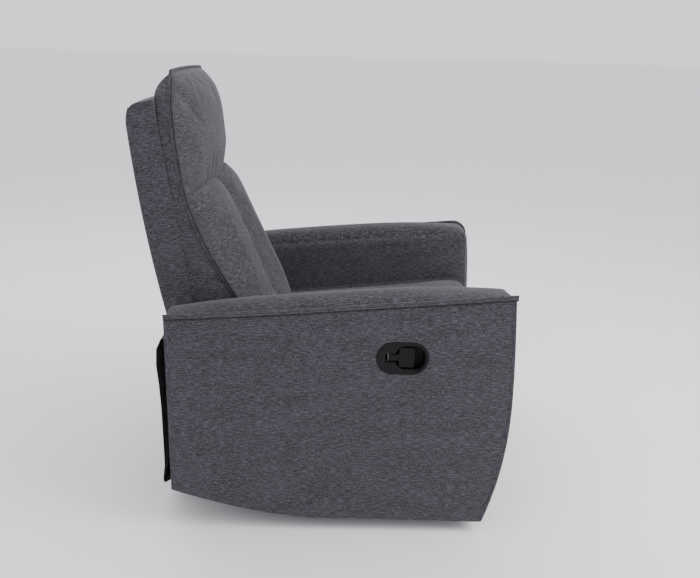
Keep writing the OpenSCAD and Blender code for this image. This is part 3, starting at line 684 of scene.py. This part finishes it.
def make_arm(name, side, replaced, corner):
    """An upholstered arm; side is 1 on the left and -1 on the right."""
    piece = block(name, (96, 16, 72))
    unit = coords(piece)
    shape = arm_shape(unit, corner)
    if side < 0:
        shape[:, 1] *= -1
    set_coords(piece, shape)
    turn_outward(piece)
    x, y, z = shape.T
    cloth_by_side(piece, unit, [np.stack([y, z], 1), np.stack([x, z], 1), np.stack([x, y], 1)])
    dress(piece, "root", upholstery, replaced, 60)
    if corner > SQUARE:
        # The left arm's lip uses the cloth with painted shade along both its edges.
        lip_along(name + "_lip", arm_edge(corner), side, seam_cloth_painted_edge_shade)
        return piece
    # a square corner: the top lip runs on into a small tab, and the other two are flush
    reach = np.linspace(ARM_REAR, ARM_FRONT + 0.004, 100)
    seam = np.stack([reach, seam_height(reach) - 0.0005], axis=1)
    lip_along(name + "_top_lip", seam, side, lip_cloth_painted_foot_shade, 0.012)
    up = np.linspace(lower_height(ARM_REAR) + 0.002, seam_height(ARM_REAR) + 0.006, 46)
    flush_lip(name + "_rear_lip", np.stack([np.full(46, ARM_REAR + 0.006), up], axis=1), side)
    down = np.linspace(seam_height(ARM_FRONT) + 0.004, ARM_BOTTOM + 0.003, 70)
    flush_lip(name + "_front_lip", np.stack([front_reach(down) - 0.006, down], axis=1), side)
    return piece


make_arm("arm_upholstery_left", 1, ["arm_cover_left", "arm_top_pad_left"], LEFT_CORNER)
arm_right = make_arm("arm_upholstery_right", -1, ["arm_cover_right", "arm_top_pad_right"], SQUARE)


# ---------------------------------------------------------------- back

LEAN = math.radians(9)
BACK_FOOT = Vector((-0.353, 0, 0.450))
BACK_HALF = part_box("back_casing")[1].y
CASING_TOP = 0.535
CASING_FRONT = 0.0655
HEAD_FOOT = 0.320
HEAD_TOP = 0.586
CUSHION_HALF = 0.2645
EAR_HALF = 0.192
CASING_JOIN = 0.0645
SIDE_LIP_TALL = 0.0125


def in_back(points):
    """From the back's own axes (forward, across, up the back) to the chair's."""
    u, y, v = np.asarray(points, float).T
    x = BACK_FOOT.x + u * math.cos(LEAN) - v * math.sin(LEAN)
    z = BACK_FOOT.z + u * math.sin(LEAN) + v * math.cos(LEAN)
    return np.stack([x, y, z], axis=1)


def side_flange(v):
    """How far forward the side seam of the back cushions stands, by height up the back."""
    lower = 0.074 * np.clip((0.34 - v) / 0.266, 0, 1.6) ** 1.6
    return 0.091 + lower + 0.012 * np.clip((v - 0.40) / 0.19, 0, 1)


def gusset_rear(v):
    """The line where the cushions' side pieces leave the casing."""
    return CASING_JOIN + 0.031 * np.clip((v - 0.535) / 0.051, 0, 1) ** 2.6


def side_pinch(v):
    """How far the cushions' sides draw in where they meet the casing: only higher up."""
    return 0.0002 + 0.0022 * ease((v - 0.26) / 0.14)


def casing_shape(unit):
    """Unit block to the casing: a forward, b across, c up the back."""
    a, b, c = unit.T
    v = -0.005 + (c + 1) / 2 * (CASING_TOP + 0.005)
    bow = 0.011 * np.sin(math.pi * np.clip(v / CASING_TOP, 0, 1)) ** 0.8
    rear = -bow + 0.017 * np.clip((v - 0.49) / 0.055, 0, 1) ** 2
    front = np.full_like(v, CASING_FRONT)
    u = rear + (a + 1) / 2 * (front - rear)
    y = b * (BACK_HALF - 0.003)
    round_rear = np.clip(1 - (a + 1) / 0.5, 0, 1) ** 2
    y = y - np.sign(b) * 0.004 * round_rear * (np.abs(b) > 0.999)
    v = np.where(c > 0.999, v - 0.006 * round_rear + 0.004 * (1 - b ** 4) + 0.004 * (a + 1) / 2, v)
    swell = (1 - b ** 4) * (1 - np.abs(c) ** 6)
    u = np.where(a < -0.999, u - 0.004 * swell, u)
    side_swell = 0.0025 * (1 - a * a) * (1 - np.abs(c) ** 6)
    y = np.where(np.abs(b) > 0.999, y + np.sign(b) * side_swell, y)
    return np.stack([u, y, v], axis=1)


def head_width(v):
    """Half of the head cushion's width, by height: it narrows to its ears in a curve."""
    t = np.clip((v - 0.46) / (HEAD_TOP - 0.46), 0, 1)
    return CUSHION_HALF - (CUSHION_HALF - EAR_HALF) * t ** 2.8


def head_shape(unit):
    """Unit block to the head cushion: a forward, b across, c up the back."""
    a, b, c = unit.T
    t = (c + 1) / 2
    v = HEAD_FOOT + t * (HEAD_TOP - HEAD_FOOT)
    half = head_width(v)
    y = b * half
    across = np.clip(1 - np.abs(b) ** 2.1, 0, 1)
    flange = side_flange(v)
    rear = gusset_rear(v)
    towards_top = np.clip((v - 0.49) / (HEAD_TOP + 0.002 - 0.49), 0, 1)
    towards_foot = np.clip((0.41 - v) / (0.41 - HEAD_FOOT), 0, 1)
    swell = 0.058 * np.clip(1 - towards_top ** 2, 0, 1) ** 0.42 * (1 - 0.30 * towards_foot ** 2.4)
    front = flange + swell * across ** 0.85
    edge_line = rear + (a + 1) / 2 * (flange - rear)
    u = np.where(a > 0.999, front, edge_line)
    u = np.where(a < -0.999, u - 0.005 * across * ease((v - 0.55) / 0.02), u)
    foot = c < -0.999
    u = np.where(foot, rear + (a + 1) / 2 * (front - rear), u)
    pinch = side_pinch(v) * np.clip(1 - (a + 1) / 0.4, 0, 1)
    side_swell = 0.003 * (1 - a * a) * np.clip(1 - towards_top ** 3, 0, 1) - pinch
    y = np.where(np.abs(b) > 0.999, y + np.sign(b) * side_swell, y)
    v = np.where(c > 0.999, v + 0.003 * across, v)
    v = v + foot_arch(b) * (1 - t) ** 3
    return np.stack([u, y, v], axis=1)


def foot_arch(b):
    """The head's lower seam rises over each channel: b runs from -1 to 1 across the back."""
    return 0.012 * np.sin(math.pi * np.clip(np.abs(b), 0, 1)) ** 1.2


LUMBAR_FOOT = -0.062
LUMBAR_TOP = HEAD_FOOT - 0.0005


def centre_seam(v):
    """How far forward the seam between the two channels stands."""
    return 0.122 + 0.102 * np.clip((0.313 - v) / 0.332, 0, 1.3) ** 1.05


def lumbar_crest(v):
    """How far forward the crest of each channel stands."""
    return 0.134 + 0.116 * np.clip((0.34 - v) / 0.403, 0, 1.1) ** 0.92


def lumbar_shape(unit):
    """Unit block to the left channel: a forward, b outwards, c up the back."""
    a, b, c = unit.T
    t = (c + 1) / 2
    v = LUMBAR_FOOT + t * (LUMBAR_TOP - LUMBAR_FOOT)
    s = (b + 1) / 2
    y = 0.0015 + s * (CUSHION_HALF - 0.0015)
    rear = np.full_like(v, CASING_JOIN)
    inner = centre_seam(v)
    outer = side_flange(np.maximum(v, 0.02))
    crest = lumbar_crest(v)
    straight = inner + (outer - inner) * s
    swell = np.clip(1 - np.abs(2 * s - 1) ** 2.3, 0, 1) ** 0.72
    peak = np.maximum(crest - (inner + outer) / 2, 0.012)
    fade = 0.72 + 0.28 * ease((1.0 - t) / 0.10)
    front = straight + peak * swell * fade
    u = rear + (a + 1) / 2 * (straight - rear)
    u = np.where(a > 0.999, front, u)
    cap = (np.abs(c) > 0.999) & (np.abs(a) < 0.999)
    u = np.where(cap, rear + (a + 1) / 2 * (front - rear), u)
    pinch = side_pinch(v) * np.clip(1 - (a + 1) / 0.4, 0, 1)
    y = np.where(b > 0.999, y + 0.003 * (1 - a * a) - pinch, y)
    v = v + foot_arch(s) * t ** 4
    return np.stack([u, y, v], axis=1)


BACK_PRESSURE = 1.6
BACK_PUFF = 0.008


def back_piece(name, cuts, shape, replaced, mirror=False, padded=True):
    """One covered part of the back, shaped in the back's own axes."""
    piece = block(name, cuts)
    unit = coords(piece)
    local = shape(unit)
    if mirror:
        local[:, 1] *= -1
    set_coords(piece, in_back(local))
    turn_outward(piece)
    if padded:
        puff(piece, unit, unit[:, 0] < -0.9, BACK_PRESSURE, BACK_PUFF)
    u, y, v = local.T
    cloth_by_side(piece, unit, [np.stack([y, v], 1), np.stack([u, v], 1), np.stack([y, u], 1)])
    dress(piece, "back", upholstery, [replaced], 62)


back_piece("back_casing_upholstery", (12, 72, 76), casing_shape, "back_casing", padded=False)
back_piece("head_cushion_upholstery", (14, 76, 40), head_shape, "head_cushion")
back_piece("lumbar_channel_left", (20, 42, 60), lumbar_shape, "lumbar_cushion_left")
back_piece("lumbar_channel_right", (20, 42, 60), lumbar_shape, "lumbar_cushion_right", mirror=True)


def back_lip(name, line, stand, across, material, tall, rise):
    """A lip along a line on the back, all given in the back's own axes."""
    path = in_back(line)
    origin = in_back(np.zeros((1, 3)))
    out = in_back(stand) - origin
    out /= np.linalg.norm(out, axis=1, keepdims=True)
    side = in_back(across) - origin
    side /= np.linalg.norm(side, axis=1, keepdims=True)
    sew(welt(name, path, out, side, tall, LIP_THICK, rise=rise), "back", material)


def side_lips():
    """The sewn lips down both sides of the cushions, and across the top of the head."""
    for side, word in ((1, "left"), (-1, "right")):
        v = np.linspace(HEAD_TOP - 0.001, 0.03, 110)
        y = np.where(v > HEAD_FOOT, head_width(v), CUSHION_HALF)
        line = np.stack([side_flange(v) - 0.005, side * (y - 0.001), v], axis=1)
        ahead = np.gradient(line, axis=0)
        forward = np.tile([1.0, 0, 0], (len(v), 1))
        out = np.cross(ahead, forward) * side
        out /= np.linalg.norm(out, axis=1, keepdims=True)
        if out[:, 1].mean() * side < 0:
            out = -out
        stand = out * 0.42 + forward * 0.90
        across = forward * 0.42 - out * 0.90
        back_lip("back_lip_" + word, line, stand, across, seam_cloth_painted_edge_shade, SIDE_LIP_TALL, (0.022, 0.03))
    y = np.linspace(-EAR_HALF - 0.004, EAR_HALF + 0.004, 70)
    across = np.clip(1 - (y / EAR_HALF) ** 2, 0, 1)
    line = np.stack([side_flange(HEAD_TOP) - 0.003 + 0 * y, y, HEAD_TOP + 0.003 * across - 0.001], axis=1)
    up = np.tile([0.05, 0, 1.0], (len(y), 1))
    forward = np.tile([1.0, 0, -0.05], (len(y), 1))
    back_lip("head_top_lip", line, up, forward, lip_cloth_painted_foot_shade, LIP_TALL, (0.008, 0.004))


side_lips()


# ---------------------------------------------------------------- seat and footrest

seat_low, seat_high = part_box("seat_cushion")
pad_low, pad_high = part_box("footrest_pad")
board_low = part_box("footrest_board")[0]
SEAT_TILT = math.tan(math.radians(5.7))
SEAT_HALF = seat_high.y
SEAT_REAR = seat_low.x + 0.004
SEAT_NOSE = seat_high.x - 0.004


def seat_top(x):
    """Height of the seat's side edges."""
    return 0.4365 - (0.360 - x) * SEAT_TILT - 0.030 * np.clip((x - 0.385) / 0.045, 0, 1) ** 2


def seat_under(x):
    """Height of the cushion's underside; the nose drops in front of the rail."""
    flat = 0.343 - (0.330 - x) * SEAT_TILT
    return flat - 0.034 * ease((x - 0.333) / 0.006)


def seat_shape(unit):
    """Unit block to the seat cushion: a forward, b across, c up."""
    a, b, c = unit.T
    x = SEAT_REAR + (a + 1) / 2 * (SEAT_NOSE - 0.010 - SEAT_REAR)
    top = seat_top(x)
    under = seat_under(x)
    z = under + (c + 1) / 2 * (top - under)
    y = b * (SEAT_HALF - 0.004)
    across = np.clip(1 - np.abs(b) ** 2.6, 0, 1)
    crown = 0.020 * across ** 0.8 * (0.55 + 0.45 * ease((0.43 - x) / 0.10))
    z = np.where(c > 0.999, z + crown, z)
    nose = np.clip(1 - np.abs(c) ** 2.2, 0, 1)
    x = np.where(a > 0.999, x + 0.012 * nose * (0.6 + 0.4 * across), x)
    y = np.where(np.abs(b) > 0.999, y + np.sign(b) * 0.002 * (1 - c * c), y)
    return np.stack([x, y, z], axis=1)


def footrest_shape(unit):
    """Unit block to the folded footrest: a forward, b across, c up."""
    a, b, c = unit.T
    x = board_low.x - 0.001 + (a + 1) / 2 * (pad_high.x - board_low.x - 0.014)
    z = pad_low.z + 0.003 + (c + 1) / 2 * (pad_high.z - pad_low.z - 0.006)
    y = b * (pad_high.y - 0.003)
    across = np.clip(1 - np.abs(b) ** 3, 0, 1)
    upright = np.clip(1 - np.abs(c) ** 2.2, 0, 1)
    x = np.where(a > 0.999, x + 0.012 * across ** 0.7 * upright ** 0.7, x)
    y = np.where(np.abs(b) > 0.999, y + np.sign(b) * 0.002 * (1 - a * a), y)
    return np.stack([x, y, z], axis=1)


def pad_cover(name, cuts, shape_of, held_axis, pressure, cap, body, replaced):
    """The cover of the seat or the footrest; its rear or under side, along held_axis, is held."""
    piece = block(name, cuts)
    unit = coords(piece)
    shape = shape_of(unit)
    set_coords(piece, shape)
    turn_outward(piece)
    puff(piece, unit, unit[:, held_axis] < -0.999, pressure, cap)
    x, y, z = shape.T
    cloth_by_side(piece, unit, [np.stack([y, z], 1), np.stack([x, z], 1), np.stack([y, x], 1)])
    dress(piece, body, upholstery, replaced, 62)


pad_cover("seat_cushion_upholstery", (84, 76, 14), seat_shape, 2, 2.5, 0.012,
          "seat", ["seat_cushion"])
pad_cover("footrest_upholstery", (8, 76, 34), footrest_shape, 0, 2.0, 0.008,
          "footrest", ["footrest_pad", "footrest_board"])


SMALL_LIP = (0.008, 0.005)


def small_lip(name, line, stand, across, body):
    """A thinner lip along a line, with one direction to stand in all along it."""
    count = len(line)
    lip = welt(name, line, np.tile(stand, (count, 1)), np.tile(across, (count, 1)), *SMALL_LIP)
    sew(lip, body, lip_cloth_painted_foot_shade)


def seat_lips():
    """Sewn lips along the seat's top side edges and its nose, and along the footrest pad's top and foot
    edges.
    """
    for side, word in ((1, "left"), (-1, "right")):
        x = np.linspace(SEAT_REAR + 0.01, SEAT_NOSE - 0.012, 80)
        edge = np.full(80, side * (SEAT_HALF - 0.005))
        line = np.stack([x, edge, seat_top(x) - 0.001], axis=1)
        small_lip("seat_lip_" + word, line, [0, side * 0.25, 1.0], [0, side * 1.0, -0.25], "seat")
    y = np.linspace(-SEAT_HALF + 0.006, SEAT_HALF - 0.006, 90)
    foot = np.full(90, seat_under(SEAT_NOSE) + 0.003)
    line = np.stack([np.full(90, SEAT_NOSE - 0.012), y, foot], axis=1)
    small_lip("seat_nose_lip", line, [0.9, 0, -0.4], [0.4, 0, 0.9], "seat")
    reach = pad_high.x - 0.017
    half = pad_high.y - 0.004
    for word, z, up in (("top", pad_high.z - 0.004, 1), ("foot", pad_low.z + 0.004, -1)):
        y = np.linspace(-half, half, 90)
        line = np.stack([np.full(90, reach), y, np.full(90, z)], axis=1)
        small_lip("footrest_lip_" + word, line, [0.85, 0, up * 0.5], [-up * 0.5, 0, 0.85], "footrest")


seat_lips()


# ---------------------------------------------------------------- release handle

cup_low, cup_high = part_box("handle_cup")
CUP = Vector(((cup_low.x + cup_high.x) / 2, -ARM_OUT, (cup_low.z + cup_high.z) / 2))
CUP_WIDE = cup_high.x - cup_low.x
CUP_TALL = cup_high.z - cup_low.z
LEVER_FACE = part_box("release_handle")[0].y - CUP.y
OUTLINE_STEP = 0.0001
TURNS = np.arange(288) / 288 * 2 * math.pi


def rounded(x, z, low_x, high_x, half_tall, radius):
    """Signed distance, below 0 inside, to a rounded box about the cup's middle height."""
    out_x = np.abs(x - (low_x + high_x) / 2) - (high_x - low_x) / 2 + radius
    out_z = np.abs(z) - half_tall + radius
    outside = np.hypot(np.maximum(out_x, 0), np.maximum(out_z, 0))
    return outside + np.minimum(np.maximum(out_x, out_z), 0) - radius


def reach_of(shape, start):
    """How far a shape's outline is from start, which is off the cup's middle, along each of TURNS."""
    steps = np.arange(0, 0.085, OUTLINE_STEP)
    x = start + np.cos(TURNS)[:, None] * steps
    z = np.sin(TURNS)[:, None] * steps
    return steps[np.argmax(shape(x, z) > 0, axis=1)]


def cup_outline(x, z):
    """The oval of the cup."""
    return rounded(x, z, -CUP_WIDE / 2, CUP_WIDE / 2, CUP_TALL / 2, CUP_TALL / 2 - 0.0001)


def well_outline(x, z):
    """The finger well and the slot that the lever's neck lies in."""
    well = rounded(x, z, -0.0155, 0.050, 0.027, 0.021)
    slot = rounded(x, z, -0.0380, 0.010, 0.0100, 0.0015)
    return np.minimum(well, slot)


def lever_outline(x, z):
    """The finger plate with its neck."""
    plate = rounded(x, z, -0.0085, 0.0275, 0.0240, 0.0060)
    neck = rounded(x, z, -0.0318, 0.010, 0.0082, 0.0010)
    return np.minimum(plate, neck)


def ringed(name, start, rings):
    """A solid round start, from rings of (reach along each of TURNS, depth); its ends are closed."""
    piece = tube(name, len(TURNS), len(rings))
    points = coords(piece)
    turn = share_round(points, 1, 0, len(TURNS))
    level = rings_of(points, len(rings))
    reach = np.array([ring[0] for ring in rings])[level, turn]
    depth = np.array([ring[1] for ring in rings])[level]
    angle = TURNS[turn]
    x = CUP.x + start + np.cos(angle) * reach
    z = CUP.z + np.sin(angle) * reach
    set_coords(piece, np.stack([x, CUP.y + depth, z], axis=1))
    turn_outward(piece)
    return piece


def make_cup():
    """A smooth oval cup with a soft rim, a deep finger well, and a slot for the lever's neck."""
    start = -0.004
    outer = reach_of(cup_outline, start)
    well = reach_of(well_outline, start)
    rim = outer - 0.007
    lip = well + 0.004
    rings = [(outer - 0.003, 0.031), (outer - 0.0025, 0.004), (outer, -0.0012),
             (outer - 0.0008, -0.0030), (outer - 0.0030, -0.0040), (rim, -0.0038),
             (rim * 0.65 + lip * 0.35, -0.0024), (rim * 0.3 + lip * 0.7, -0.0014), (lip, -0.0010),
             (well + 0.0018, -0.0004), (well + 0.0005, 0.0010), (well, 0.0035),
             (well - 0.0008, 0.026), (well * 0.5, 0.0272)]
    dress(ringed("release_cup", start, rings), "root", cup_plastic, ["handle_cup"], 30)


def make_lever():
    """The T-shaped lever: a finger plate, hollowed a little, on a flat neck that runs to its pivot."""
    start = 0.0005
    edge = reach_of(lever_outline, start)
    face = LEVER_FACE
    rings = [(edge * 0.3, face + 0.0026), (edge * 0.6, face + 0.0019),
             (edge - 0.0045, face + 0.0006), (edge - 0.0022, face), (edge - 0.0010, face + 0.0002),
             (edge - 0.0003, face + 0.0010), (edge, face + 0.0022), (edge - 0.0002, face + 0.0056),
             (edge - 0.002, face + 0.0060)]
    lever = ringed("release_lever", start, rings)
    dress(lever, "handle", lever_plastic, ["release_handle"], 30)


def cut_for_cup():
    """Cuts the oval opening for the cup in the right arm's cover."""
    edge = reach_of(cup_outline, 0) - 0.0025
    cutter = ringed("cup_opening", 0, [(edge, -0.02), (edge, 0.042)])
    pick(arm_right)
    cut = arm_right.modifiers.new("cup_opening", "BOOLEAN")
    cut.operation = "DIFFERENCE"
    cut.solver = "EXACT"
    cut.object = cutter
    bpy.ops.object.modifier_apply(modifier=cut.name)
    bpy.data.objects.remove(cutter)


cut_for_cup()
make_cup()
make_lever()


# ---------------------------------------------------------------- rear cloth

cloth_low, cloth_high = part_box("rear_dust_cloth")


CLOTH_THICK = 0.0012
CLOTH_BEND = 0.060
# X and Z down the loose cloth: over the back's foot, straight down, and round its bag to the rail
CLOTH_LINE = np.array([
    (-0.360, 0.449), (-0.378, 0.443), (-0.389, 0.418), (-0.391, 0.376), (-0.387, 0.330),
    (-0.384, 0.269), (-0.383, 0.170), (-0.383, 0.108), (-0.388, 0.072), (-0.386, CLOTH_BEND),
    (-0.376, 0.066), (cloth_high.x - 0.012, cloth_low.z + 0.002)])


def make_rear_cloth():
    """The loose black cloth from the back's foot to the rear rail, with soft folds across it."""
    deselect()
    bpy.ops.mesh.primitive_grid_add(x_subdivisions=90, y_subdivisions=110, size=2)
    piece = bpy.context.object
    piece.name = "rear_lining"
    grid = coords(piece)
    s = (grid[:, 0] + 1) / 2
    t = (grid[:, 1] + 1) / 2
    run = np.linalg.norm(np.diff(CLOTH_LINE, axis=0), axis=1)
    run = np.concatenate([[0], np.cumsum(run)])
    where = t * run[-1]
    x = np.interp(where, run, CLOTH_LINE[:, 0])
    z = np.interp(where, run, CLOTH_LINE[:, 1])
    fold = np.sin(s * 17 + 2.2 * np.sin(t * 3.1)) * 0.6 + np.sin(s * 41 + 4 * t + 1.3) * 0.25
    loose = np.sin(math.pi * t) ** 0.7 * np.clip(1 - np.abs(2 * s - 1) ** 4, 0, 1)
    x = x + 0.004 * fold * loose
    y = (s - 0.5) * (cloth_high.y - cloth_low.y)
    set_coords(piece, np.stack([x, y, z], axis=1))
    flat = np.stack([y, where], axis=1)
    lay_cloth(piece, flat[face_corners(piece)])
    pick(piece)
    wall = piece.modifiers.new("thickness", "SOLIDIFY")
    wall.thickness = CLOTH_THICK
    wall.offset = 0
    bpy.ops.object.modifier_apply(modifier=wall.name)
    dress(piece, "root", lining, ["rear_dust_cloth"], 50)
    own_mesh(piece)


make_rear_cloth()


# ---------------------------------------------------------------- stage

finish_nodes()
bpy.ops.mesh.primitive_plane_add(size=160)
floor = bpy.context.object
floor.name = "floor"
ground = Finish("pale_floor")
speckle = ground.noise(ground.place(), (3, 3, 3), 3.0)
ground_shade = ground.mix(speckle, (0.86, 0.86, 0.87), (0.91, 0.91, 0.92))
floor.data.materials.append(ground.finish(ground_shade, 0.75 + speckle * 0.1))
world = bpy.context.scene.world or bpy.data.worlds.new("world")
bpy.context.scene.world = world
world.use_nodes = True
sky = world.node_tree.nodes["Background"].inputs
sky["Color"].default_value = (0.95, 0.96, 1.0, 1)
sky["Strength"].default_value = 1.30
add_light((2.2, -1.0, 2.2), 1.8, 70, (1, 0.99, 0.97))
add_light((-1.0, 1.6, 2.8), 2.5, 40, (0.95, 0.97, 1))
